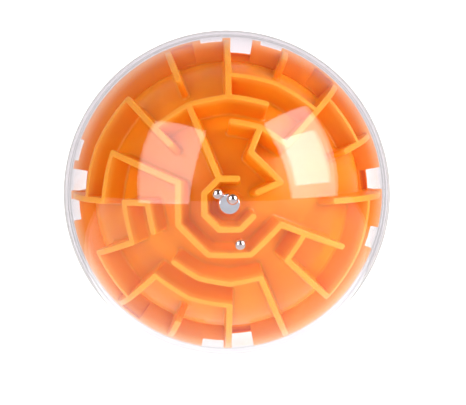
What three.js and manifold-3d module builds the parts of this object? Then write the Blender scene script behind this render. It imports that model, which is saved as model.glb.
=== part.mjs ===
// Tilt maze game: a clear plastic ball round a moulded spherical labyrinth.
//
// The labyrinth is a smaller sphere with walls standing square on it. The walls run along a grid of
// meridians and rings, and each one is a flat plate lying in a plane through the ball's centre. It is
// made as two hemispheres with the same walls, joined at a flat plate round the equator with windows
// in it, so that three steel balls can be rolled from one half to the other and on to a magnet at
// the pole.
//
// Millimetres, +Z up along the poles, origin at the centre of the ball.

import * as THREE from 'three';
import { mergeVertices } from 'three/addons/utils/BufferGeometryUtils.js';
import Module from 'manifold-3d';

const wasm = await Module();
wasm.setup();

// Driving dimensions
const BALL_DIAMETER = 3.5;
const MAGNET_DIAMETER = 6;
const SHELL_RADIUS = 52.5;
const SHELL_THICKNESS = 1.2;
const FLOOR_RADIUS = 42.5;
const FLOOR_THICKNESS = 1.6;
const WALL_TOP_RADIUS = 49.4;
const WALL_THICKNESS = 1.86;
const END_TRIM = 0.85;
const PLATE_RADIUS = 50.2;
const PLATE_THICKNESS = 1.5;
const MOULDING_GAP = 0.3;
const HALF_SEAM = 0.15;
const RUNNING_GAP = 0.1;

// The grid of the labyrinth: rings by angle from the pole, meridians by number
const MERIDIANS = 16;
const MERIDIAN_STEP = 360 / MERIDIANS;
const RING = [0, 9.3, 19.1, 29, 39, 49.8, 61.4];
const PLATE = 90;
const STUB_067_END = 68.3;
const STUB_112_END = 51.4;
const STUB_247_END = 54.3;

// Poles and seam
const FOOT_RADIUS = 7;
const LEDGE_RADIUS = 50.5;
const LEDGE_HEIGHT = 3;
const BOSS_RADIUS = 3.3;
const BOSS_TOP = 44.9;
const MAGNET_THICKNESS = 2;
const MAGNET_CHAMFER = 0.25;

// Windows in the equator plate, by place number, one pitch apart and all the same angle wide.
// All but the pockets are notches that are open at the plate's rim.
// When one half is turned over, its place n comes to lie on place TURNED_SUM - n of the other.
const WINDOW_PLACES = 32;
const WINDOW_PITCH = 360 / WINDOW_PLACES;
const TURNED_SUM = 7;
const turnedOver = (place) => (TURNED_SUM - place + WINDOW_PLACES) % WINDOW_PLACES;
const WINDOW_ANGLE = 8.2;
const WINDOW_INNER = 45.1;
const NOTCH_OUTER = PLATE_RADIUS + 1;
const SLOT_INNER = 47.7;
const SLIT_INNER = 48.6;
const POCKET_OUTER = 48.8;
const POCKET_INNER = 44.6;
const POCKET_DEPTH = 0.8;
const OPEN_WINDOWS = [0, 7, 15, 24];
const SLOTS = [16, 23, 30];
const SLITS = [6, 8, 14];
const POCKETS = [4, 9, 20];

// Where the three steel balls lie: angle round the pole axis
const BALL_1_AZIMUTH = 284.3;
const BALL_1_COLATITUDE = 14.2;
const BALL_2_AZIMUTH = 139.5;
const BALL_2_OFFSET = 4.45;
const BALL_3_AZIMUTH = 61;
const BALL_3_OFFSET = 1.7;

// Facets
const ROUND_SEGMENTS = 40;
const DOME_STEPS = 9;
const FACET_DIP = 0.2;
const PLATE_STEP = 10;
const POST_SIDES = 8;
const POST_SHORTER = 0.02;
const SLIVER = 0.01;

const WALL_BOTTOM_RADIUS = FLOOR_RADIUS + MOULDING_GAP;
const PLATE_TOP = HALF_SEAM + PLATE_THICKNESS;
const MAGNET_BOTTOM = BOSS_TOP + MOULDING_GAP;
const MAGNET_TOP = MAGNET_BOTTOM + MAGNET_THICKNESS;

// Each wall piece is a set of paths over grid points [ring angle, meridian number].
// A wall that runs through a junction comes before the ones that end there: each later piece is
// cut back where it meets an earlier one.
const onRing = (ring, meridians) => meridians.map((m) => [RING[ring], m]);
const WALLS = [
  ['spoke_000', [[[RING[4], 0], [PLATE, 0]]]],
  ['spoke_045', [[[RING[3], 2], [PLATE, 2]]]],
  ['spoke_180', [[[RING[5], 8], [PLATE, 8]]]],
  ['spoke_135_and_arc', [[[RING[3], 6], [RING[6], 6]], onRing(6, [6, 7, 8])]],
  ['inner_ring', [onRing(1, [3, 5, 7, 9, 11, 13, 15])]],
  ['north_arc_and_spoke_112', [onRing(4, [3, 4, 5, 6]), [[RING[4], 5], [RING[1], 5]]]],
  ['spoke_090', [[[RING[4], 4], [PLATE, 4]]]],
  ['spoke_225_and_arc', [[[RING[4], 10], [PLATE, 10]], onRing(6, [9, 10])]],
  ['spoke_270', [[[RING[4], 12], [PLATE, 12]]]],
  ['spoke_292_and_arc', [[[RING[3], 13], [PLATE, 13]], onRing(3, [10, 11, 12, 13])]],
  ['cup', [onRing(2, [7, 9, 11, 13, 15])]],
  ['spoke_337', [[[RING[2], 15], [RING[5], 15]]]],
  ['zigzag', [[...onRing(3, [4, 3]), ...onRing(2, [3, 1]), [RING[1], 1]], onRing(3, [3, 2])]],
  ['outer_arc_north', [onRing(5, [2, 3, 4])]],
  ['hook_157', [[[RING[2], 7], ...onRing(5, [7, 8])]]],
  ['hook_315', [[[RING[6], 14], ...onRing(3, [14, 15])]]],
  ['outer_arc_east', [onRing(6, [14, 15, 16])]],
  ['hook_022', [onRing(6, [1, 2]), [[RING[5], 1], [PLATE, 1]]]],
  ['gate_180', [[[RING[4], 8], ...onRing(3, [8, 9])]]],
  ['step_202', [[...onRing(4, [8, 9]), [RING[6], 9]]]],
  ['south_arc', [onRing(4, [10, 11, 12])]],
  ['stub_067', [[[STUB_067_END, 3], [PLATE, 3]]]],
  ['stub_112', [[[STUB_112_END, 5], [PLATE, 5]]]],
  ['stub_247', [[[STUB_247_END, 11], [PLATE, 11]]]],
];

const COLOURS = {
  orange: { color: 0xee6a1c, roughness: 0.38, metalness: 0 },
  clear: { color: 0xeef1f6, roughness: 0.08, metalness: 0, transparent: true, opacity: 0.25 },
  steel: { color: 0xc8ccd2, roughness: 0.12, metalness: 1 },
  magnet: { color: 0xb9bcc4, roughness: 0.22, metalness: 1 },
};

const radians = THREE.MathUtils.degToRad;

function direction(colatitude, meridian) {
  const theta = radians(colatitude);
  const phi = radians(meridian * MERIDIAN_STEP);
  return new THREE.Vector3(
    Math.sin(theta) * Math.cos(phi),
    Math.sin(theta) * Math.sin(phi),
    Math.cos(theta),
  );
}

function toSolid(geometry) {
  const bare = geometry.clone();
  bare.deleteAttribute('normal');
  bare.deleteAttribute('uv');
  const merged = mergeVertices(bare, 1e-5);
  const vertProperties = Float32Array.from(merged.attributes.position.array);
  const triVerts = Uint32Array.from(merged.index.array);
  return new wasm.Manifold(new wasm.Mesh({ numProp: 3, vertProperties, triVerts }));
}

// The one real body of a solid, without the slivers that rounding can leave beside a cut
function oneBody(solid) {
  const bodies = solid.decompose();
  const real = bodies.filter((body) => body.volume() > SLIVER);
  if (real.length !== 1) throw new Error(`${real.length} bodies where one was meant`);
  return real[0];
}

function toGeometry(solid) {
  const mesh = oneBody(solid).getMesh();
  const geometry = new THREE.BufferGeometry();
  geometry.setAttribute('position', new THREE.BufferAttribute(mesh.vertProperties, 3));
  geometry.setIndex(new THREE.BufferAttribute(mesh.triVerts, 1));
  const flat = geometry.toNonIndexed();
  flat.computeVertexNormals();
  return flat;
}

function boxSolid(size, centre) {
  const geometry = new THREE.BoxGeometry(...size);
  geometry.translate(...centre);
  return toSolid(geometry);
}

// A flat plate in the plane of two directions, between two radii from the centre
function plateBetween(from, to, thickness, inner, outer, extension) {
  const along = from.clone();
  const across = to.clone().addScaledVector(from, -from.dot(to)).normalize();
  const normal = new THREE.Vector3().crossVectors(along, across);
  const extra = extension / outer;
  const start = -extra;
  const end = from.angleTo(to) + extra;
  const steps = Math.max(1, Math.ceil((end - start) / radians(PLATE_STEP)));
  const arc = (radius, index) => {
    const angle = start + ((end - start) * index) / steps;
    return new THREE.Vector2(radius * Math.cos(angle), radius * Math.sin(angle));
  };
  const outline = [];
  for (let i = 0; i <= steps; i += 1) outline.push(arc(outer, i));
  for (let i = steps; i >= 0; i -= 1) outline.push(arc(inner, i));
  const geometry = new THREE.ExtrudeGeometry(new THREE.Shape(outline), {
    depth: thickness,
    bevelEnabled: false,
  });
  geometry.translate(0, 0, -thickness / 2);
  geometry.applyMatrix4(new THREE.Matrix4().makeBasis(along, across, normal));
  return toSolid(geometry);
}

// The rounded end or corner of a wall, a thin post standing square on the floor
function post(at, diameter, inner, outer) {
  const geometry = new THREE.CylinderGeometry(diameter / 2, diameter / 2, outer - inner, POST_SIDES);
  geometry.translate(0, (outer + inner) / 2, 0);
  const turn = new THREE.Quaternion().setFromUnitVectors(new THREE.Vector3(0, 1, 0), at);
  geometry.applyQuaternion(turn);
  return toSolid(geometry);
}

// Whether a point of the grid lies on a straight run of wall
function liesOn(point, from, to) {
  const near = WALL_THICKNESS / 2 / WALL_TOP_RADIUS;
  const normal = new THREE.Vector3().crossVectors(from, to).normalize();
  const pastStart = new THREE.Vector3().crossVectors(from, point).dot(normal);
  const beforeEnd = new THREE.Vector3().crossVectors(point, to).dot(normal);
  return Math.abs(point.dot(normal)) < near && pastStart > -near && beforeEnd > -near;
}

function isFree(point, ownPath) {
  if (point.z < Math.cos(radians(PLATE - 1))) return false;
  for (const path of WALLS.flatMap(([, paths]) => paths)) {
    if (path === ownPath) continue;
    const points = path.map((place) => direction(...place));
    for (let i = 1; i < points.length; i += 1) {
      if (liesOn(point, points[i - 1], points[i])) return false;
    }
  }
  return true;
}

// The points of a path as directions, with each free end cut back by most of its rounded end
function pathPoints(path) {
  const points = path.map((place) => direction(...place));
  const trimmed = [...points];
  const last = points.length - 1;
  for (const [end, next] of [[0, 1], [last, last - 1]]) {
    if (!isFree(points[end], path)) continue;
    const share = END_TRIM / WALL_TOP_RADIUS / points[end].angleTo(points[next]);
    trimmed[end] = points[end].clone().lerp(points[next], share).normalize();
  }
  return trimmed;
}

function wallSolid(paths) {
  const parts = [];
  for (const path of paths) {
    const points = pathPoints(path);
    for (let i = 1; i < points.length; i += 1) {
      parts.push(plateBetween(
        points[i - 1], points[i], WALL_THICKNESS, WALL_BOTTOM_RADIUS, WALL_TOP_RADIUS, 0,
      ));
    }
    for (const point of points) {
      parts.push(post(
        point, WALL_THICKNESS, WALL_BOTTOM_RADIUS + POST_SHORTER, WALL_TOP_RADIUS - POST_SHORTER,
      ));
    }
  }
  return parts.reduce((whole, part) => whole.add(part));
}

// The space a wall needs, with the moulding gap all round it
function wallClearance(paths) {
  const wide = WALL_THICKNESS + 2 * MOULDING_GAP;
  const parts = [];
  for (const path of paths) {
    const points = pathPoints(path);
    for (let i = 1; i < points.length; i += 1) {
      parts.push(plateBetween(
        points[i - 1], points[i], wide, WALL_BOTTOM_RADIUS - 2, WALL_TOP_RADIUS + 2, wide / 2,
      ));
    }
  }
  return parts.reduce((whole, part) => whole.add(part));
}

function wallGeometries() {
  const reach = 2 * SHELL_RADIUS;
  const wallFoot = PLATE_TOP + MOULDING_GAP;
  const belowPlate = boxSolid([reach, reach, SHELL_RADIUS], [0, 0, wallFoot - SHELL_RADIUS / 2]);
  const cleared = [];
  const result = [];
  for (const [name, paths] of WALLS) {
    let solid = wallSolid(paths).subtract(belowPlate);
    for (const space of cleared) solid = solid.subtract(space);
    result.push([name, toGeometry(solid)]);
    cleared.push(wallClearance(paths));
  }
  return result;
}

function lathe(profile, segments = ROUND_SEGMENTS) {
  const geometry = new THREE.LatheGeometry(profile.map(([r, z]) => new THREE.Vector2(r, z)), segments);
  geometry.rotateX(Math.PI / 2);
  return geometry;
}

// Points along a circle in the profile plane, from one height to another
function arcPoints(radius, fromHeight, toHeight, steps) {
  const from = Math.acos(fromHeight / radius);
  const to = Math.acos(toHeight / radius);
  const points = [];
  for (let i = 0; i <= steps; i += 1) {
    const angle = from + ((to - from) * i) / steps;
    points.push([radius * Math.sin(angle), radius * Math.cos(angle)]);
  }
  return points;
}

function latheSolid(profile, segments) {
  const geometry = lathe(profile, segments);
  const solid = toSolid(geometry);
  if (solid.volume() > 0) return solid;
  const flipped = lathe([...profile].reverse(), segments);
  return toSolid(flipped);
}

function floorGeometry() {
  const inner = FLOOR_RADIUS - FLOOR_THICKNESS;
  const bossFoot = Math.sqrt(FLOOR_RADIUS ** 2 - BOSS_RADIUS ** 2);
  const profile = [
    [0, BOSS_TOP],
    [BOSS_RADIUS, BOSS_TOP],
    ...arcPoints(FLOOR_RADIUS, bossFoot, HALF_SEAM, DOME_STEPS),
    ...arcPoints(inner, HALF_SEAM, inner, DOME_STEPS).slice(0, -1),
    [0, inner],
  ];
  return toGeometry(latheSolid(profile));
}

function shellGeometry(footRadius) {
  const inner = SHELL_RADIUS - SHELL_THICKNESS;
  const flat = Math.sqrt(SHELL_RADIUS ** 2 - footRadius ** 2);
  const pole = footRadius > 0 ? [[0, flat]] : [];
  const outside = arcPoints(SHELL_RADIUS, flat, HALF_SEAM, DOME_STEPS);
  if (footRadius === 0) outside[0] = [0, SHELL_RADIUS];
  const profile = [
    ...pole,
    ...outside,
    [LEDGE_RADIUS, HALF_SEAM],
    [LEDGE_RADIUS, LEDGE_HEIGHT],
    ...arcPoints(inner, LEDGE_HEIGHT, inner, DOME_STEPS).slice(0, -1),
    [0, inner],
  ];
  return toGeometry(latheSolid(profile));
}

// The space of a window or recess, with sides that run towards the pole axis
function windowCut(place, from, to, depth) {
  const over = 1;
  const spread = Math.tan(radians(WINDOW_ANGLE / 2));
  const outline = new THREE.Shape([
    new THREE.Vector2(from, -from * spread),
    new THREE.Vector2(to, -to * spread),
    new THREE.Vector2(to, to * spread),
    new THREE.Vector2(from, from * spread),
  ]);
  const geometry = new THREE.ExtrudeGeometry(outline, { depth: depth + over, bevelEnabled: false });
  geometry.translate(0, 0, PLATE_TOP - depth);
  geometry.rotateZ(radians((place + 0.5) * WINDOW_PITCH));
  return toSolid(geometry);
}

function plateGeometry(slots, slits) {
  const inner = FLOOR_RADIUS + MOULDING_GAP;
  const profile = [
    [inner, HALF_SEAM],
    [PLATE_RADIUS, HALF_SEAM],
    [PLATE_RADIUS, PLATE_TOP],
    [inner, PLATE_TOP],
    [inner, HALF_SEAM],
  ];
  let solid = latheSolid(profile);
  const through = PLATE_THICKNESS + 1;
  for (const place of OPEN_WINDOWS) {
    solid = solid.subtract(windowCut(place, WINDOW_INNER, NOTCH_OUTER, through));
  }
  for (const place of slots) {
    solid = solid.subtract(windowCut(place, SLOT_INNER, NOTCH_OUTER, through));
  }
  for (const place of slits) {
    solid = solid.subtract(windowCut(place, SLIT_INNER, NOTCH_OUTER, through));
  }
  for (const place of POCKETS.filter((pocket) => !slots.includes(pocket))) {
    solid = solid.subtract(windowCut(place, POCKET_INNER, POCKET_OUTER, POCKET_DEPTH));
  }
  return toGeometry(solid);
}

function magnetGeometry() {
  const radius = MAGNET_DIAMETER / 2;
  const profile = [
    [0, MAGNET_TOP],
    [radius - MAGNET_CHAMFER, MAGNET_TOP],
    [radius, MAGNET_TOP - MAGNET_CHAMFER],
    [radius, MAGNET_BOTTOM],
    [0, MAGNET_BOTTOM],
  ];
  return toGeometry(latheSolid(profile, 24));
}

function steelBall() {
  return toGeometry(toSolid(new THREE.SphereGeometry(BALL_DIAMETER / 2, 16, 10)));
}

function named(name, geometry, look) {
  const mesh = new THREE.Mesh(geometry, new THREE.MeshStandardMaterial(COLOURS[look]));
  mesh.name = name;
  return mesh;
}

const floor = floorGeometry();
const magnet = magnetGeometry();
const walls = wallGeometries();

// One half of the labyrinth; the halves differ only in the slots and slits of their plates
function labyrinthHalf(side, slots, slits) {
  const half = new THREE.Group();
  half.add(named(`${side}_floor`, floor, 'orange'));
  half.add(named(`${side}_equator_plate`, plateGeometry(slots, slits), 'orange'));
  half.add(named(`${side}_magnet`, magnet, 'magnet'));
  for (const [name, geometry] of walls) {
    half.add(named(`${side}_${name}`, geometry, 'orange'));
  }
  return half;
}

function placeBall(name, position) {
  const ball = named(name, steelBall(), 'steel');
  ball.position.copy(position);
  return ball;
}

function roundPole(radius, azimuth, height) {
  const phi = radians(azimuth);
  return new THREE.Vector3(radius * Math.cos(phi), radius * Math.sin(phi), height);
}

const game = new THREE.Group();

const upper = labyrinthHalf('upper', SLOTS, SLITS);
upper.add(named('upper_shell', shellGeometry(0), 'clear'));
game.add(upper);

// The lower half is turned over about a level axis half way between +X and +Y,
// which brings its windows in line with the upper ones
const lower = labyrinthHalf('lower', SLOTS.map(turnedOver), SLITS.map(turnedOver));
lower.add(named('lower_shell', shellGeometry(FOOT_RADIUS), 'clear'));
const turnAxis = new THREE.Vector3(1, 1, 0).normalize();
lower.quaternion.setFromAxisAngle(turnAxis, Math.PI);
game.add(lower);

// Ball 1 lies against the shell, in the channel between the inner ring and the cup
const shellInside = SHELL_RADIUS - SHELL_THICKNESS;
const ballRadius = BALL_DIAMETER / 2;
const ball1Radius = shellInside - FACET_DIP - ballRadius - 1.5 * RUNNING_GAP;
const ball1Angle = radians(BALL_1_COLATITUDE);
game.add(placeBall('ball_1', roundPole(
  ball1Radius * Math.sin(ball1Angle), BALL_1_AZIMUTH, ball1Radius * Math.cos(ball1Angle),
)));

// Ball 2 clings to the rim of the magnet and ball 3 stands on its face
const beyondRim = BALL_2_OFFSET - MAGNET_DIAMETER / 2;
const aboveRim = Math.sqrt((ballRadius + RUNNING_GAP) ** 2 - beyondRim ** 2);
game.add(placeBall('ball_2', roundPole(BALL_2_OFFSET, BALL_2_AZIMUTH, MAGNET_TOP + aboveRim)));
const onMagnet = MAGNET_TOP + ballRadius + RUNNING_GAP;
game.add(placeBall('ball_3', roundPole(BALL_3_OFFSET, BALL_3_AZIMUTH, onMagnet)));

export default game;
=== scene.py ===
# Tilt maze game: a clear plastic ball round an orange spherical labyrinth, with loose steel balls.
# Metres, +Z up along the poles, origin at the centre of the ball.

import math

import bmesh
import bpy
import numpy as np
from mathutils import Matrix, Vector
from mathutils.geometry import delaunay_2d_cdt


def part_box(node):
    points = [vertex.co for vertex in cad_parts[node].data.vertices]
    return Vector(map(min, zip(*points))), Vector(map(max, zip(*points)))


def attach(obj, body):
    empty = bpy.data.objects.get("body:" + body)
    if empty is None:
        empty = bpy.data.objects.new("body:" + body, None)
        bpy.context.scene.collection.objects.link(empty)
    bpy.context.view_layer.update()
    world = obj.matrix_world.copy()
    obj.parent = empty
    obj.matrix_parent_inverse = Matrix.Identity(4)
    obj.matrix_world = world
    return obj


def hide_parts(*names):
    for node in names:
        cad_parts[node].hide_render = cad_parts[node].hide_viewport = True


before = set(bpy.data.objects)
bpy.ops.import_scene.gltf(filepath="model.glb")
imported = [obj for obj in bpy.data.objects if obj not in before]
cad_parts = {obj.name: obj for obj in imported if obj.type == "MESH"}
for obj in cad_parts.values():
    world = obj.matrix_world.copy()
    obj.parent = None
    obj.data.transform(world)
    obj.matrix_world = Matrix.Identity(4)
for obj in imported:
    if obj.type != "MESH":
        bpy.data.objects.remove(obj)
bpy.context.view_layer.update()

MM = 0.001

# Driving sizes, from the frame
SHELL_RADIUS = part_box("upper_shell")[1][2]
FOOT_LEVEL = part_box("lower_shell")[0][2]
FLOOR_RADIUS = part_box("upper_floor")[1][0]
PLATE_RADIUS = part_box("upper_equator_plate")[1][0]
PLATE_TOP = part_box("upper_equator_plate")[1][2]
MAGNET_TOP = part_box("upper_magnet")[1][2]
MAGNET_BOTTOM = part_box("upper_magnet")[0][2]
MAGNET_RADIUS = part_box("upper_magnet")[1][0]

# Driving sizes that the frame doesn't give
SHELL_THICKNESS = 1.2 * MM
FLOOR_THICKNESS = 1.6 * MM
WALL_TOP = 49.4 * MM
WALL_HALF = 0.93 * MM
END_TRIM = 0.85 * MM
BOSS_RADIUS = 3.3 * MM
MAGNET_GAP = 0.05 * MM
MAGNET_SUNK = 0.1 * MM

# Edges of the moulding and the magnet. Points of a mesh that are closer than its merge are joined.
EDGE_ROUND = 0.32 * MM
FOOT_FILLET = 0.75 * MM
DRAFT = 0.12 * MM
WALL_ROOT = 0.4 * MM
WALLS_MERGE = 0.04 * MM
ROUND_STEPS = 3
CAP_STEPS = 8
SIDE_STEP = math.radians(3.0)
SHORTEST_EDGE = 0.1 * MM
FLOOR_EDGE = 0.1 * MM
BOSS_EDGE = 0.3 * MM
BOSS_FLARE = 0.6 * MM
BOSS_FILLET = [(0.1 * MM, 0.7 * MM), (0.25 * MM, 0.25 * MM)]
MAGNET_EDGE = 0.22 * MM
PLATE_SEGMENTS = 160
PLATE_BOTTOM = 0.04 * MM
PLATE_EDGE = 0.16 * MM
PLATE_OVERLAP = 0.5 * MM
PLATE_MERGE = 0.002 * MM
WINDOW_CORNER = 0.35 * MM
CORNER_STEPS = 3

# How finely round shapes are cut: round the axis, and from rim to pole (outside, inside)
FLOOR_SEGMENTS = 128
SHELL_SEGMENTS = 160
MAGNET_SEGMENTS = 64
FLOOR_STEPS = (40, 24)
SHELL_STEPS = (48, 44)
# The angle in degrees from which an edge is shown as a crease
WALL_CREASE = 50
FLOOR_CREASE = 40
PLATE_CREASE = 35
SHELL_CREASE = 30
MAGNET_CREASE = 20
NO_CREASE = 180
# How far in the middle point of a small rounded edge lies, as a share of its radius
ROUND_SHARE = 0.3

# Edges of the clear shells. The lip inside the seam registers the two halves.
SHELL_RIM = 0.05 * MM
SHELL_EDGE = 0.12 * MM
FOOT_EDGE = 0.5 * MM
FOOT_CORNER = 0.1 * MM
FOOT_DROP = 0.03 * MM
LIP_DEPTH = 1.4 * MM
LIP_GAP = 0.05 * MM
LIP_THICKNESS = 0.5 * MM
LIP_TAPER = [(0.5 * MM, 1.6 * MM), (0.3 * MM, 2.4 * MM)]
LIP_END = 3.2 * MM

# The grid of the labyrinth: rings by angle from the pole, meridians by number
MERIDIAN_STEP = 22.5
RING = [0, 9.3, 19.1, 29, 39, 49.8, 61.4]
PLATE = 89.4


def on_ring(ring, meridians):
    return [(RING[ring], m) for m in meridians]


WALLS = [
    [(RING[4], 0), (PLATE, 0)],
    [(RING[3], 2), (PLATE, 2)],
    [(RING[5], 8), (PLATE, 8)],
    [(RING[3], 6), (RING[6], 6)],
    on_ring(6, [6, 7, 8]),
    on_ring(1, [3, 5, 7, 9, 11, 13, 15]),
    on_ring(4, [3, 4, 5, 6]),
    [(RING[4], 5), (RING[1], 5)],
    [(RING[4], 4), (PLATE, 4)],
    [(RING[4], 10), (PLATE, 10)],
    on_ring(6, [9, 10]),
    [(RING[4], 12), (PLATE, 12)],
    [(RING[3], 13), (PLATE, 13)],
    on_ring(3, [10, 11, 12, 13]),
    on_ring(2, [7, 9, 11, 13, 15]),
    [(RING[2], 15), (RING[5], 15)],
    [*on_ring(3, [4, 3]), *on_ring(2, [3, 1]), (RING[1], 1)],
    on_ring(3, [3, 2]),
    on_ring(5, [2, 3, 4]),
    [(RING[2], 7), *on_ring(5, [7, 8])],
    [(RING[6], 14), *on_ring(3, [14, 15])],
    on_ring(6, [14, 15, 16]),
    on_ring(6, [1, 2]),
    [(RING[5], 1), (PLATE, 1)],
    [(RING[4], 8), *on_ring(3, [8, 9])],
    [*on_ring(4, [8, 9]), (RING[6], 9)],
    on_ring(4, [10, 11, 12]),
    [(68.3, 3), (PLATE, 3)],
    [(51.4, 5), (PLATE, 5)],
    [(54.3, 11), (PLATE, 11)],
]

# Colours, in pairs that the noise of a surface runs between
DEEP_ORANGE = ((0.755, 0.204, 0.003), (0.785, 0.240, 0.005))
# The pale orange is painted light: the walls' tops are coloured paler than the floor and the walls' feet,
# as if lit more there.
PAINTED_LIGHT_ORANGE = ((0.79, 0.305, 0.03), (0.82, 0.345, 0.038))
# Painted light: a faint orange glow over all the orange plastic, standing in for light that passes through
# it, which lifts its shade.
PAINTED_ORANGE_GLOW = (1.0, 0.20, 0.0, 1)
PAINTED_GLOW_STRENGTH = 0.09
# Where on a wall its colour begins to turn pale with painted light, as a share of its height
PAINTED_LIGHT_FROM = 0.62
CLEAR_TINT = (0.975, 0.965, 0.98, 1)
# How much the clear plastic mirrors, seen square on
CLEAR_MIRROR = 0.036
STEEL = (0.90, 0.87, 0.87)
NICKEL = (0.90, 0.94, 0.99)
# How bright the duller spots of a metal are, as a share of its colour
WORN = 0.93
# Roughness, from the shiniest to the dullest spots of a surface
ORANGE_ROUGHNESS = (0.30, 0.40)
CLEAR_ROUGHNESS = (0.03, 0.06)
STEEL_ROUGHNESS = (0.14, 0.20)
NICKEL_ROUGHNESS = (0.05, 0.10)
# Depth of the finest grain
ORANGE_GRAIN = 0.01 * MM
STEEL_GRAIN = 0.0005 * MM
NICKEL_GRAIN = 0.002 * MM

# Windows and recesses in the equator plate, by place number, on a pitch of half a meridian. All but
# the pockets are notches that are open at the plate's rim. When one half is turned over, its place n
# comes to lie on place TURNED_SUM - n of the other.
WINDOW_PLACES = 32
WINDOW_PITCH = math.radians(360 / WINDOW_PLACES)
WINDOW_ANGLE = math.radians(8.2)
TURNED_SUM = 7
OPEN_WINDOWS = [0, 7, 15, 24]
SLOTS = [16, 23, 30]
SLITS = [6, 8, 14]
POCKETS = [4, 9, 20]
WINDOW_INNER = 45.5 * MM
SLOT_INNER = 47.7 * MM
SLIT_INNER = 49.0 * MM
WINDOW_SILL = 0.4 * MM
RECESS_INNER = 43.4 * MM
RECESS_OUTER = 49.5 * MM
RECESS_DEPTH = 1.1 * MM

# The white floor under the toy
TABLE_HALF = 1.5
TABLE_GAP = 0.05 * MM
TABLE_TONES = ((0.62, 0.62, 0.63), (0.66, 0.66, 0.67))
TABLE_ROUGHNESS = 0.7
TABLE_GLOW = 0.60

# Lights, in metres and watts: (name, direction from the ball, distance, width, height, watts)
MIRRORED_LIGHTS = [
    ("left_softbox", (-0.64, 0.372, 0.68), 0.6, 0.42, 0.56, 2.5),
    ("right_softbox", (0.79, 0.43, 0.46), 0.6, 0.42, 0.58, 3.1),
    ("right_lamp", (0.78, 0.37, 0.48), 0.55, 0.27, 0.29, 1.15),
]
TABLE_BOUNCE = ("table_bounce", (0.12, -0.80, 0.55), 0.8, 0.9, 0.7, 6.5)
TABLE_BOUNCE_COLOUR = (0.80, 1.0, 0.80)
TOP_SOFT = ("top_soft", (0.0, 0.15, 1.0), 0.9, 0.9, 0.9, 1.75)
WHITE_TABLE = ("white_table", (0, -1, 0), 0.0535, 4.0, 2.0, 17)
WHITE_TABLE_HEIGHT = 0.94

# What the clear ball mirrors: a dim room above, brightening to a white sweep below it, as pairs of
# (height, brightness)
ROOM = [(-1.0, 0.56), (-0.80, 0.74), (-0.70, 0.48), (-0.55, 0.17), (-0.2, 0.05), (1.0, 0.02)]
ROOM_GREEN = 0.97
ROOM_BLUE = 0.99

# The camera: where it stands, and how far from the middle of its view the ball lies
CAMERA_DISTANCE = 8 * SHELL_RADIUS
CAMERA_TILT = math.radians(3.54)
CAMERA_SWING = math.radians(0.911)
CAMERA_ROLL = math.radians(-0.24)
BALL_ACROSS = math.radians(-0.26631)
BALL_ABOVE = math.radians(0.38884)
LENS = 100.058
SENSOR_WIDTH = 36.0


# ---------------------------------------------------------------- mesh helpers

def direction(colatitude, meridian):
    theta = math.radians(colatitude)
    phi = math.radians(meridian * MERIDIAN_STEP)
    return Vector((
        math.sin(theta) * math.cos(phi),
        math.sin(theta) * math.sin(phi),
        math.cos(theta),
    ))


def link(name, mesh):
    obj = bpy.data.objects.new(name, mesh)
    bpy.context.scene.collection.objects.link(obj)
    return obj


def mesh_from(name, vertices, faces):
    mesh = bpy.data.meshes.new(name)
    mesh.from_pydata([tuple(v) for v in vertices], [], faces)
    mesh.validate()
    return mesh


def tidied(mesh, merge=0.0):
    """The same mesh with its faces turned outwards, and points closer than merge joined."""
    bm = bmesh.new()
    bm.from_mesh(mesh)
    if merge:
        bmesh.ops.remove_doubles(bm, verts=bm.verts, dist=merge)
    bmesh.ops.recalc_face_normals(bm, faces=bm.faces)
    bm.to_mesh(mesh)
    bm.free()
    return mesh


def smooth(mesh, angle):
    mesh.polygons.foreach_set("use_smooth", [True] * len(mesh.polygons))
    mesh.set_sharp_from_angle(angle=math.radians(angle))


def lathe(name, profile, segments, closed=True):
    """A ring or disc of revolution about Z from (radius, height) points, outside first going down."""
    vertices = []
    faces = []
    rings = []
    for radius, height in profile:
        if radius < 1e-9:
            rings.append([len(vertices)])
            vertices.append((0.0, 0.0, height))
            continue
        start = len(vertices)
        for i in range(segments):
            angle = 2 * math.pi * i / segments
            vertices.append((radius * math.cos(angle), radius * math.sin(angle), height))
        rings.append(list(range(start, start + segments)))
    pairs = list(zip(rings, rings[1:]))
    if closed:
        pairs.append((rings[-1], rings[0]))
    for above, below in pairs:
        if len(above) == 1 and len(below) == 1:
            continue
        for i in range(segments):
            j = (i + 1) % segments
            if len(above) == 1:
                faces.append((above[0], below[i], below[j]))
            elif len(below) == 1:
                faces.append((above[i], below[0], above[j]))
            else:
                faces.append((above[i], below[i], below[j], above[j]))
    return tidied(mesh_from(name, vertices, faces))


def arc(radius, from_height, to_height, steps):
    start = math.acos(max(-1.0, min(1.0, from_height / radius)))
    end = math.acos(max(-1.0, min(1.0, to_height / radius)))
    points = []
    for i in range(steps + 1):
        angle = start + (end - start) * i / steps
        points.append((radius * math.sin(angle), radius * math.cos(angle)))
    return points


# ---------------------------------------------------------------- the walls

def flat(point):
    """A direction as a place on a flat map centred on the pole, in metres at the walls' tops."""
    theta = math.acos(max(-1.0, min(1.0, point.z)))
    phi = math.atan2(point.y, point.x)
    return Vector((math.cos(phi), math.sin(phi))) * theta * WALL_TOP


def lifted(place):
    theta = place.length / WALL_TOP
    phi = math.atan2(place.y, place.x)
    return Vector((
        math.sin(theta) * math.cos(phi),
        math.sin(theta) * math.sin(phi),
        math.cos(theta),
    ))


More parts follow.
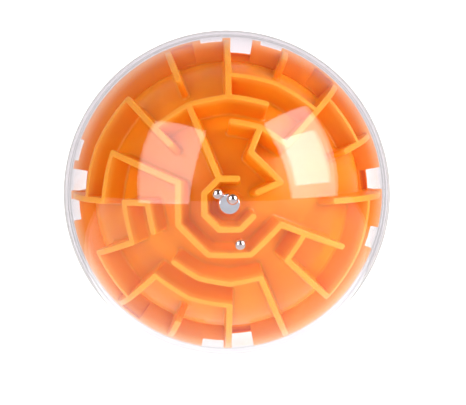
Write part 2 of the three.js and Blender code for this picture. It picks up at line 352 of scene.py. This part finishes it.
def capsule(start, end):
    """The outline of one straight run of wall, with round ends, as directions."""
    across = (end - start * end.dot(start)).normalized()
    normal = start.cross(across).normalized()
    span = start.angle(end)
    tilt = math.asin(WALL_HALF / WALL_TOP)
    steps = max(1, math.ceil(span / SIDE_STEP))
    outline = []
    for i in range(steps + 1):
        along = start * math.cos(span * i / steps) + across * math.sin(span * i / steps)
        outline.append(along * math.cos(tilt) - normal * math.sin(tilt))
    ahead = across * math.cos(span) - start * math.sin(span)
    for i in range(1, CAP_STEPS):
        turn = math.pi * i / CAP_STEPS
        side = -normal * math.cos(turn) + ahead * math.sin(turn)
        outline.append(end * math.cos(tilt) + side * math.sin(tilt))
    for i in range(steps, -1, -1):
        along = start * math.cos(span * i / steps) + across * math.sin(span * i / steps)
        outline.append(along * math.cos(tilt) + normal * math.sin(tilt))
    for i in range(1, CAP_STEPS):
        turn = math.pi * i / CAP_STEPS
        side = normal * math.cos(turn) - across * math.sin(turn)
        outline.append(start * math.cos(tilt) + side * math.sin(tilt))
    return outline


def lies_on(point, start, end):
    """Whether a point of the grid lies on a straight run of wall."""
    near = WALL_HALF / WALL_TOP
    normal = start.cross(end).normalized()
    past_start = start.cross(point).dot(normal) > -near
    before_end = point.cross(end).dot(normal) > -near
    return abs(point.dot(normal)) < near and past_start and before_end


def is_free(point, own):
    if point.z < math.cos(math.radians(PLATE - 1)):
        return False
    for path in WALLS:
        points = [direction(*at) for at in path]
        if path is not own and any(lies_on(point, *run) for run in zip(points, points[1:])):
            return False
    return True


def path_points(path):
    """The points of a path as directions, with each free end cut back by most of its round end."""
    points = [direction(*at) for at in path]
    trimmed = list(points)
    for end, beside in ((0, 1), (-1, -2)):
        if is_free(points[end], path):
            share = END_TRIM / WALL_TOP / points[end].angle(points[beside])
            trimmed[end] = points[end].lerp(points[beside], share).normalized()
    return trimmed


def wall_loops():
    """Outlines of all the walls joined into one plan, anticlockwise round the solid, as directions."""
    places = []
    polygons = []
    for path in WALLS:
        points = path_points(path)
        for start, end in zip(points, points[1:]):
            outline = capsule(start, end)
            first = len(places)
            places.extend(flat(p) for p in outline)
            polygons.append(list(range(first, len(places))))
    verts, _, faces, _, _, owners = delaunay_2d_cdt(places, [], polygons, 1, 1e-7, True)
    follows = {}
    solid = [face for face, owner in zip(faces, owners) if owner]
    edges = set()
    for face in solid:
        edges.update(zip(face, face[1:] + face[:1]))
    for a, b in edges:
        if (b, a) not in edges:
            follows.setdefault(a, []).append(b)
    loops = []
    while follows:
        start = next(iter(follows))
        loop = [start]
        current = start
        while True:
            options = follows[current]
            step = options.pop()
            if not options:
                del follows[current]
            if step == start:
                break
            loop.append(step)
            current = step
        loops.append(thinned([lifted(verts[i]) for i in loop]))
    return [loop for loop in loops if len(loop) > 2]


def thinned(loop):
    kept = []
    for point in loop:
        if not kept or (point - kept[-1]).length * WALL_TOP > SHORTEST_EDGE:
            kept.append(point)
    while len(kept) > 2 and (kept[0] - kept[-1]).length * WALL_TOP <= SHORTEST_EDGE:
        kept.pop()
    return kept


def outward(loop):
    """For each point of a loop, the direction away from the solid, lengthened at corners."""
    result = []
    count = len(loop)
    for i in range(count):
        here = loop[i]
        before = (here - loop[i - 1]).normalized().cross(here).normalized()
        after = (loop[(i + 1) % count] - here).normalized().cross(here).normalized()
        middle = before + after
        if middle.length < 1e-6:
            middle = before
        middle.normalize()
        result.append(middle / max(0.6, middle.dot(before)))
    return result


def wall_profile():
    """(radius, offset) from the inner edge of a wall's top down to its foot in the floor."""
    profile = []
    for i in range(ROUND_STEPS + 1):
        turn = 0.5 * math.pi * i / ROUND_STEPS
        profile.append((
            WALL_TOP - EDGE_ROUND * (1 - math.cos(turn)),
            -EDGE_ROUND * (1 - math.sin(turn)),
        ))
    for i in range(ROUND_STEPS + 1):
        turn = 0.5 * math.pi * i / ROUND_STEPS
        profile.append((
            FLOOR_RADIUS + FOOT_FILLET * (1 - math.sin(turn)),
            DRAFT + FOOT_FILLET * (1 - math.cos(turn)),
        ))
    profile.append((FLOOR_RADIUS - WALL_ROOT, 0.0))
    return profile


def inside_all(places, loops):
    """Which places lie inside an odd number of the loops."""
    x = np.array([p[0] for p in places])[:, None]
    y = np.array([p[1] for p in places])[:, None]
    crossings = np.zeros(len(places), dtype=int)
    for loop in loops:
        a = np.array([tuple(p) for p in loop])
        b = np.roll(a, -1, axis=0)
        spans = (a[:, 1] > y) != (b[:, 1] > y)
        slope = (b[:, 0] - a[:, 0]) / np.where(b[:, 1] == a[:, 1], 1e-12, b[:, 1] - a[:, 1])
        crossings += (spans & (x < a[:, 0] + slope * (y - a[:, 1]))).sum(axis=1)
    return crossings % 2 == 1


def filled(rows):
    """Triangles that fill the space between closed flat rows of points, and the points they use."""
    places = []
    edges = []
    for row in rows:
        first = len(places)
        places.extend(row)
        edges.extend((first + i, first + (i + 1) % len(row)) for i in range(len(row)))
    verts, _, tris, _, _, _ = delaunay_2d_cdt(places, edges, [], 0, 1e-8, True)
    middles = [sum((verts[i] for i in tri), Vector((0, 0))) / len(tri) for tri in tris]
    return verts, [tri for tri, wanted in zip(tris, inside_all(middles, rows)) if wanted]


def walls_mesh():
    profile = wall_profile()
    vertices = []
    faces = []
    tops = []
    feet = []
    for loop in wall_loops():
        away = outward(loop)
        count = len(loop)
        first = len(vertices)
        for radius, offset in profile:
            keep = WALL_HALF * (1 - radius / WALL_TOP)
            for point, side in zip(loop, away):
                vertices.append((point * radius + side * (offset + keep)).normalized() * radius)
        for level in range(len(profile) - 1):
            for i in range(count):
                j = (i + 1) % count
                above = first + level * count
                below = above + count
                faces.append((above + i, below + i, below + j, above + j))
        tops.append([flat(v.normalized()) for v in vertices[first:first + count]])
        feet.append([flat(v.normalized()) for v in vertices[-count:]])
    for rows, radius in ((tops, profile[0][0]), (feet, profile[-1][0])):
        places, triangles = filled(rows)
        base = len(vertices)
        vertices.extend(lifted(place) * radius for place in places)
        faces.extend(tuple(base + i for i in triangle) for triangle in triangles)
    mesh = tidied(mesh_from("walls", vertices, faces), WALLS_MERGE)
    smooth(mesh, WALL_CREASE)
    return mesh


# ---------------------------------------------------------------- floor, plate and shells

def floor_mesh():
    boss_top = MAGNET_BOTTOM - MAGNET_GAP
    middle = ROUND_SHARE * BOSS_EDGE
    foot = math.sqrt(FLOOR_RADIUS ** 2 - (BOSS_RADIUS + BOSS_FLARE) ** 2)
    inner = FLOOR_RADIUS - FLOOR_THICKNESS
    outer_steps, inner_steps = FLOOR_STEPS
    profile = [
        (0.0, boss_top),
        (BOSS_RADIUS - BOSS_EDGE, boss_top),
        (BOSS_RADIUS - middle, boss_top - middle),
        (BOSS_RADIUS, boss_top - BOSS_EDGE),
        *[(BOSS_RADIUS + out, foot + above) for out, above in BOSS_FILLET],
        *arc(FLOOR_RADIUS, foot, FLOOR_EDGE, outer_steps),
        *arc(inner, FLOOR_EDGE, inner, inner_steps)[:-1],
        (0.0, inner),
    ]
    mesh = lathe("floor", profile, FLOOR_SEGMENTS)
    smooth(mesh, FLOOR_CREASE)
    return mesh


def ring_loop(radius):
    """A clockwise circle of flat points round the pole axis."""
    turns = [-2 * math.pi * i / PLATE_SEGMENTS for i in range(PLATE_SEGMENTS)]
    return [Vector((math.cos(turn), math.sin(turn))) * radius for turn in turns]


def polar(radius, turn):
    return Vector((math.cos(turn), math.sin(turn))) * radius


def rim_loop(notches):
    """The anticlockwise outline of the plate, with a notch down to a given radius at some places."""
    points = []
    for place in range(WINDOW_PLACES):
        middle = (place + 0.5) * WINDOW_PITCH
        half = WINDOW_ANGLE / 2
        inner = notches.get(place, PLATE_RADIUS)
        quarter = (half + WINDOW_PITCH / 2) / 2
        edge_turns = (middle - WINDOW_PITCH / 2, middle - quarter, middle - half)
        points.extend(polar(PLATE_RADIUS, turn) for turn in edge_turns)
        corner = WINDOW_CORNER if place in notches else 0.0
        for side in (-1, 1):
            for step in range(CORNER_STEPS + 1):
                turn = 0.5 * math.pi * (step if side < 0 else CORNER_STEPS - step) / CORNER_STEPS
                swing = half - corner * (1 - math.cos(turn)) / inner
                points.append(polar(inner + corner * (1 - math.sin(turn)), middle + side * swing))
            if side < 0:
                points.extend(polar(inner, middle + half * share) for share in (-0.5, 0.0, 0.5))
        points.extend(polar(PLATE_RADIUS, turn) for turn in (middle + half, middle + quarter))
    return points


def pocket_loop(place, outer):
    """The clockwise outline of a recess, with sides that run towards the axis and rounded corners."""
    middle = (place + 0.5) * WINDOW_PITCH
    points = []
    for side, away in ((-1, -1), (1, -1), (1, 1), (-1, 1)):
        radius = outer if away > 0 else RECESS_INNER
        for step in range(CORNER_STEPS + 1):
            turn = 0.5 * math.pi * (step if side * away > 0 else CORNER_STEPS - step) / CORNER_STEPS
            reach = radius - away * WINDOW_CORNER * (1 - math.sin(turn))
            swing = WINDOW_ANGLE / 2 - WINDOW_CORNER * (1 - math.cos(turn)) / radius
            points.append(polar(reach, middle + side * swing))
    return points


def thinned_flat(loop):
    """A loop without points that repeat."""
    return [point for i, point in enumerate(loop) if (point - loop[i - 1]).length > 0.01 * MM]


def into_solid(loop):
    """For each point of a flat loop, the direction to its left, lengthened at corners."""
    result = []
    for i, here in enumerate(loop):
        before = (here - loop[i - 1]).normalized()
        after = (loop[(i + 1) % len(loop)] - here).normalized()
        left = Vector((-before.y, before.x))
        middle = (left + Vector((-after.y, after.x))).normalized()
        result.append(middle / max(0.5, middle.dot(left)))
    return result


def plate_mesh(slots, slits):
    """The plate round the equator: flat faces between rims that run round the edge of each opening."""
    sunk = PLATE_TOP - RECESS_DEPTH
    rounded = [(PLATE_EDGE, 0.0), (ROUND_SHARE * PLATE_EDGE, ROUND_SHARE * PLATE_EDGE), (0.0, PLATE_EDGE)]
    vertices = []
    faces = []

    def rim(loop, top, low):
        """A wall round a loop with a rounded upper edge; gives its top and bottom rows."""
        left = into_solid(loop)
        rows = []
        for inset, down in rounded + [(0.0, top - low)]:
            rows.append(list(range(len(vertices), len(vertices) + len(loop))))
            for point, side in zip(loop, left):
                vertices.append((*(point + side * inset), top - down))
        for above, below in zip(rows, rows[1:]):
            for i in range(len(loop)):
                j = (i + 1) % len(loop)
                faces.append((above[i], below[i], below[j], above[j]))
        return rows[0], rows[-1]

    def flat_face(rows, height):
        """A level face that fills the space between closed rows of points."""
        places, triangles = filled([[Vector(vertices[i][:2]) for i in row] for row in rows])
        base = len(vertices)
        vertices.extend((place.x, place.y, height) for place in places)
        faces.extend(tuple(base + i for i in triangle) for triangle in triangles)

    notches = {place: WINDOW_INNER for place in OPEN_WINDOWS}
    notches.update({place: SLOT_INNER for place in slots})
    notches.update({place: SLIT_INNER for place in slits})
    tops = []
    bottoms = []
    for loop in (rim_loop(notches), ring_loop(FLOOR_RADIUS - PLATE_OVERLAP)):
        high, low = rim(thinned_flat(loop), PLATE_TOP, PLATE_BOTTOM)
        tops.append(high)
        bottoms.append(low)
    recesses = {place: WINDOW_INNER - WINDOW_SILL for place in OPEN_WINDOWS}
    recesses.update({place: RECESS_OUTER for place in POCKETS if place not in slots})
    for place, outer in recesses.items():
        high, low = rim(thinned_flat(pocket_loop(place, outer)), PLATE_TOP, sunk)
        tops.append(high)
        flat_face([low], sunk)
    flat_face(tops, PLATE_TOP)
    flat_face(bottoms, PLATE_BOTTOM)
    mesh = tidied(mesh_from("plate", vertices, faces), PLATE_MERGE)
    smooth(mesh, PLATE_CREASE)
    return mesh


def joined(name, meshes):
    bm = bmesh.new()
    for mesh in meshes:
        bm.from_mesh(mesh)
    made = bpy.data.meshes.new(name)
    bm.to_mesh(made)
    bm.free()
    return made


def shell_mesh(level, has_lip):
    """Half of the clear ball, cut off flat at a level near its pole, with or without the inner lip that
    reaches past the seam into the other half."""
    inner = SHELL_RADIUS - SHELL_THICKNESS
    outer_steps, inner_steps = SHELL_STEPS
    has_foot = level < SHELL_RADIUS
    start = min(level, SHELL_RADIUS)
    profile = [(0.0, start)]
    if has_foot:
        radius = math.sqrt(SHELL_RADIUS ** 2 - level ** 2)
        profile.append((radius - FOOT_EDGE, level))
        profile.append((radius - FOOT_CORNER, level - FOOT_DROP))
        start = level - SHELL_EDGE
    outside = arc(SHELL_RADIUS, start, SHELL_RIM + SHELL_EDGE, outer_steps)
    profile.extend(outside if has_foot else outside[1:])
    profile.extend([
        (SHELL_RADIUS - ROUND_SHARE * SHELL_EDGE, SHELL_RIM + ROUND_SHARE * SHELL_EDGE),
        (SHELL_RADIUS - SHELL_EDGE, SHELL_RIM),
    ])
    if has_lip:
        profile.extend([
            (inner - LIP_GAP, SHELL_RIM),
            (inner - LIP_GAP, -LIP_DEPTH),
            (inner - LIP_THICKNESS, -LIP_DEPTH),
            *[(inner - inset, height) for inset, height in LIP_TAPER],
            *arc(inner, LIP_END, inner, inner_steps)[:-1],
        ])
    else:
        profile.append((inner, SHELL_RIM))
        profile.extend(arc(inner, SHELL_RIM, inner, inner_steps)[1:-1])
    profile.append((0.0, inner))
    mesh = lathe("shell", profile, SHELL_SEGMENTS)
    smooth(mesh, SHELL_CREASE)
    return mesh


def magnet_mesh():
    middle = ROUND_SHARE * MAGNET_EDGE
    bottom = MAGNET_BOTTOM - MAGNET_SUNK
    profile = [
        (0.0, MAGNET_TOP),
        (MAGNET_RADIUS - MAGNET_EDGE, MAGNET_TOP),
        (MAGNET_RADIUS - middle, MAGNET_TOP - middle),
        (MAGNET_RADIUS, MAGNET_TOP - MAGNET_EDGE),
        (MAGNET_RADIUS, bottom),
        (0.0, bottom),
    ]
    mesh = lathe("magnet", profile, MAGNET_SEGMENTS)
    smooth(mesh, MAGNET_CREASE)
    return mesh


def ball_mesh(node):
    low, high = (Vector(corner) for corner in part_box(node))
    bm = bmesh.new()
    bmesh.ops.create_icosphere(bm, subdivisions=5, radius=(high - low).z / 2)
    bmesh.ops.translate(bm, vec=(low + high) / 2, verts=bm.verts)
    mesh = bpy.data.meshes.new(node)
    bm.to_mesh(mesh)
    bm.free()
    smooth(mesh, NO_CREASE)
    return mesh


# ---------------------------------------------------------------- materials

def new_material(name):
    material = bpy.data.materials.new(name)
    material.use_nodes = True
    nodes = material.node_tree.nodes
    return material, nodes, material.node_tree.links, nodes["Principled BSDF"]


def noise(nodes, links, scale, detail=3.0):
    place = nodes.new("ShaderNodeTexCoord")
    texture = nodes.new("ShaderNodeTexNoise")
    texture.inputs["Scale"].default_value = scale
    texture.inputs["Detail"].default_value = detail
    links.new(place.outputs["Object"], texture.inputs["Vector"])
    return texture.outputs["Fac"]


def mapped(nodes, links, value, low, high):
    span = nodes.new("ShaderNodeMapRange")
    span.inputs["From Min"].default_value = 0.3
    span.inputs["From Max"].default_value = 0.7
    span.inputs["To Min"].default_value = low
    span.inputs["To Max"].default_value = high
    links.new(value, span.inputs["Value"])
    return span.outputs["Result"]


def bumped(nodes, links, value, depth, shader):
    bump = nodes.new("ShaderNodeBump")
    bump.inputs["Strength"].default_value = 0.6
    bump.inputs["Distance"].default_value = depth
    links.new(value, bump.inputs["Height"])
    links.new(bump.outputs["Normal"], shader.inputs["Normal"])


def blended(nodes, links, first, second, value):
    mix = nodes.new("ShaderNodeMix")
    mix.data_type = "RGBA"
    mix.inputs["A"].default_value = (*first, 1)
    mix.inputs["B"].default_value = (*second, 1)
    links.new(mapped(nodes, links, value, 0, 1), mix.inputs["Factor"])
    return mix.outputs["Result"]


def orange_plastic():
    """Dyed translucent plastic with painted light: the free edges of the walls are coloured paler than the
    floor and their feet, as if lit more, and a faint painted glow lifts its shade.
    """
    material, nodes, links, shader = new_material("orange_plastic")
    deep = blended(nodes, links, *DEEP_ORANGE, noise(nodes, links, 60))
    painted_light = blended(nodes, links, *PAINTED_LIGHT_ORANGE, noise(nodes, links, 90))
    # Painted light: towards the tops of the walls the colour turns pale, as if lit more there.
    place = nodes.new("ShaderNodeTexCoord")
    reach = nodes.new("ShaderNodeVectorMath")
    reach.operation = "LENGTH"
    links.new(place.outputs["Object"], reach.inputs[0])
    height = nodes.new("ShaderNodeMapRange")
    height.interpolation_type = "SMOOTHSTEP"
    height.inputs["From Min"].default_value = FLOOR_RADIUS + PAINTED_LIGHT_FROM * (WALL_TOP - FLOOR_RADIUS)
    height.inputs["From Max"].default_value = WALL_TOP
    links.new(reach.outputs["Value"], height.inputs["Value"])
    mix = nodes.new("ShaderNodeMix")
    mix.data_type = "RGBA"
    links.new(height.outputs["Result"], mix.inputs["Factor"])
    links.new(deep, mix.inputs["A"])
    links.new(painted_light, mix.inputs["B"])
    links.new(mix.outputs["Result"], shader.inputs["Base Color"])
    links.new(mapped(nodes, links, noise(nodes, links, 240), *ORANGE_ROUGHNESS), shader.inputs["Roughness"])
    bumped(nodes, links, noise(nodes, links, 900, 2.0), ORANGE_GRAIN, shader)
    shader.inputs["IOR"].default_value = 1.5
    shader.inputs["Specular IOR Level"].default_value = 0.25
    shader.inputs["Subsurface Weight"].default_value = 0.35
    shader.inputs["Subsurface Radius"].default_value = (1.0, 0.35, 0.08)
    shader.inputs["Subsurface Scale"].default_value = 1.6 * MM
    # Painted light: the plastic glows faintly orange, lifting its shade.
    shader.inputs["Emission Color"].default_value = PAINTED_ORANGE_GLOW
    shader.inputs["Emission Strength"].default_value = PAINTED_GLOW_STRENGTH
    return material


def clear_plastic():
    material, nodes, links, _ = new_material("clear_plastic")
    nodes.remove(nodes["Principled BSDF"])
    output = nodes["Material Output"]
    through = nodes.new("ShaderNodeBsdfTransparent")
    through.inputs["Color"].default_value = CLEAR_TINT
    mirror = nodes.new("ShaderNodeBsdfGlossy")
    mirror.inputs["Color"].default_value = (1, 1, 1, 1)
    links.new(mapped(nodes, links, noise(nodes, links, 300), *CLEAR_ROUGHNESS), mirror.inputs["Roughness"])
    facing = nodes.new("ShaderNodeLayerWeight")
    facing.inputs["Blend"].default_value = 0.5
    steep = nodes.new("ShaderNodeMath")
    steep.operation = "POWER"
    steep.inputs[1].default_value = 5.0
    share = nodes.new("ShaderNodeMapRange")
    share.inputs["To Min"].default_value = CLEAR_MIRROR
    share.inputs["To Max"].default_value = 1.0
    links.new(facing.outputs["Facing"], steep.inputs[0])
    links.new(steep.outputs["Value"], share.inputs["Value"])
    mix = nodes.new("ShaderNodeMixShader")
    links.new(share.outputs["Result"], mix.inputs["Fac"])
    links.new(through.outputs["BSDF"], mix.inputs[1])
    links.new(mirror.outputs["BSDF"], mix.inputs[2])
    links.new(mix.outputs["Shader"], output.inputs["Surface"])
    return material


def metal(name, colour, roughness, grain):
    material, nodes, links, shader = new_material(name)
    worn = tuple(WORN * c for c in colour)
    links.new(blended(nodes, links, colour, worn, noise(nodes, links, 700)), shader.inputs["Base Color"])
    shader.inputs["Metallic"].default_value = 1.0
    links.new(mapped(nodes, links, noise(nodes, links, 900), *roughness), shader.inputs["Roughness"])
    bumped(nodes, links, noise(nodes, links, 1500), grain, shader)
    return material


def floor_white():
    material, nodes, links, shader = new_material("white_floor")
    tone = blended(nodes, links, *TABLE_TONES, noise(nodes, links, 20))
    links.new(tone, shader.inputs["Base Color"])
    shader.inputs["Roughness"].default_value = TABLE_ROUGHNESS
    shader.inputs["Emission Color"].default_value = (1, 1, 1, 1)
    shader.inputs["Emission Strength"].default_value = TABLE_GLOW
    return material


# ---------------------------------------------------------------- the object

def piece(name, mesh, material, slot_name, body, *nodes):
    obj = link(name, mesh)
    mesh.materials.clear()
    mesh.materials.append(material)
    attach(obj, body)
    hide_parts(*nodes)
    return obj


def turned_over(place):
    return (TURNED_SUM - place) % WINDOW_PLACES


def turned(mesh):
    """A copy of an upper half's mesh turned over for the lower half, about a level axis at 45 degrees."""
    copy = mesh.copy()
    copy.transform(Matrix.Rotation(math.pi, 4, Vector((1, 1, 0)).normalized()))
    return copy


orange = orange_plastic()
clear = clear_plastic()
steel = metal("polished_steel", STEEL, STEEL_ROUGHNESS, STEEL_GRAIN)
nickel = metal("nickel_plate", NICKEL, NICKEL_ROUGHNESS, NICKEL_GRAIN)

walls = walls_mesh()
dome = floor_mesh()
magnet = magnet_mesh()
for side in ("upper", "lower"):
    solid_nodes = [
        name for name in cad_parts
        if name.startswith(side) and not name.endswith(("_shell", "_magnet"))
    ]
    if side == "upper":
        whole = joined("labyrinth", [walls, dome, plate_mesh(SLOTS, SLITS)])
    else:
        slots = [turned_over(place) for place in SLOTS]
        slits = [turned_over(place) for place in SLITS]
        whole = turned(joined("labyrinth", [walls, dome, plate_mesh(slots, slits)]))
    piece(f"{side}_labyrinth", whole, orange, "orange", "maze", *solid_nodes)
    disc = magnet if side == "upper" else turned(magnet)
    piece(f"{side}_magnet_disc", disc, nickel, "magnet", "maze", f"{side}_magnet")
piece("upper_clear_shell", shell_mesh(SHELL_RADIUS, False), clear, "clear", "maze", "upper_shell")
piece("lower_clear_shell", turned(shell_mesh(-FOOT_LEVEL, True)), clear, "clear", "maze", "lower_shell")
for ball in ("ball_1", "ball_2", "ball_3"):
    piece(f"steel_{ball}", ball_mesh(ball), steel, "steel", ball, ball)

# ---------------------------------------------------------------- stage, light and camera

def stage_plane(name, corners, material):
    obj = link(name, mesh_from(name, corners, [(0, 1, 2, 3)]))
    obj.data.materials.append(material)
    return obj


white = floor_white()
table_level = FOOT_LEVEL - TABLE_GAP
stage_plane("floor_plane", [
    (-TABLE_HALF, -TABLE_HALF, table_level),
    (TABLE_HALF, -TABLE_HALF, table_level),
    (TABLE_HALF, TABLE_HALF, table_level),
    (-TABLE_HALF, TABLE_HALF, table_level),
], white).visible_glossy = False


def area_light(name, towards, distance, width, height, watts, up=(0, 1, 0)):
    data = bpy.data.lights.new(name, "AREA")
    data.shape = "RECTANGLE"
    data.size = width
    data.size_y = height
    data.energy = watts
    obj = bpy.data.objects.new(name, data)
    bpy.context.scene.collection.objects.link(obj)
    back = Vector(towards).normalized()
    right = Vector(up).cross(back).normalized()
    top = back.cross(right)
    facing = Matrix((right, top, back)).transposed().to_4x4()
    obj.matrix_world = Matrix.Translation(back * distance) @ facing
    obj.visible_camera = False
    return obj


for light in MIRRORED_LIGHTS:
    area_light(*light)
table_bounce = area_light(*TABLE_BOUNCE)
table_bounce.data.color = TABLE_BOUNCE_COLOUR
table_bounce.visible_glossy = False
area_light(*TOP_SOFT).visible_glossy = False
area_light(*WHITE_TABLE, up=(0, 0, 1)).location.z = WHITE_TABLE_HEIGHT


def room_light():
    world = bpy.data.worlds.new("studio")
    bpy.context.scene.world = world
    world.use_nodes = True
    nodes = world.node_tree.nodes
    links = world.node_tree.links
    background = nodes["Background"]
    place = nodes.new("ShaderNodeTexCoord")
    parts = nodes.new("ShaderNodeSeparateXYZ")
    level = nodes.new("ShaderNodeMapRange")
    level.inputs["From Min"].default_value = -1.0
    level.inputs["From Max"].default_value = 1.0
    ramp = nodes.new("ShaderNodeValToRGB")
    stops = ramp.color_ramp.elements
    while len(stops) < len(ROOM):
        stops.new(0.5)
    for stop, (height, bright) in zip(stops, ROOM):
        stop.position = (height + 1) / 2
        stop.color = (bright, ROOM_GREEN * bright, ROOM_BLUE * bright, 1)
    links.new(place.outputs["Generated"], parts.inputs["Vector"])
    links.new(parts.outputs["Z"], level.inputs["Value"])
    links.new(level.outputs["Result"], ramp.inputs["Fac"])
    links.new(ramp.outputs["Color"], background.inputs["Color"])
    background.inputs["Strength"].default_value = 1.0


room_light()


def aim_camera():
    data = bpy.data.cameras.new("camera")
    data.sensor_width = SENSOR_WIDTH
    data.lens = LENS
    data.clip_start = 0.01
    data.clip_end = 20.0
    obj = bpy.data.objects.new("camera", data)
    bpy.context.scene.collection.objects.link(obj)
    bpy.context.scene.camera = obj
    back = Vector((
        -math.sin(CAMERA_SWING),
        math.sin(CAMERA_TILT) * math.cos(CAMERA_SWING),
        math.cos(CAMERA_TILT) * math.cos(CAMERA_SWING),
    ))
    right = Vector((0, 1, 0)).cross(back).normalized()
    top = back.cross(right)
    towards_ball = Matrix((right, top, back)).transposed()
    sideways = Matrix.Rotation(BALL_ACROSS, 3, "Y")
    upwards = Matrix.Rotation(-BALL_ABOVE, 3, "X")
    roll = Matrix.Rotation(CAMERA_ROLL, 3, "Z")
    turn = towards_ball @ (sideways @ upwards @ roll)
    obj.matrix_world = Matrix.Translation(back * CAMERA_DISTANCE) @ turn.to_4x4()


aim_camera()
bpy.context.scene.view_settings.view_transform = "Standard"
bpy.context.scene.view_settings.look = "None"
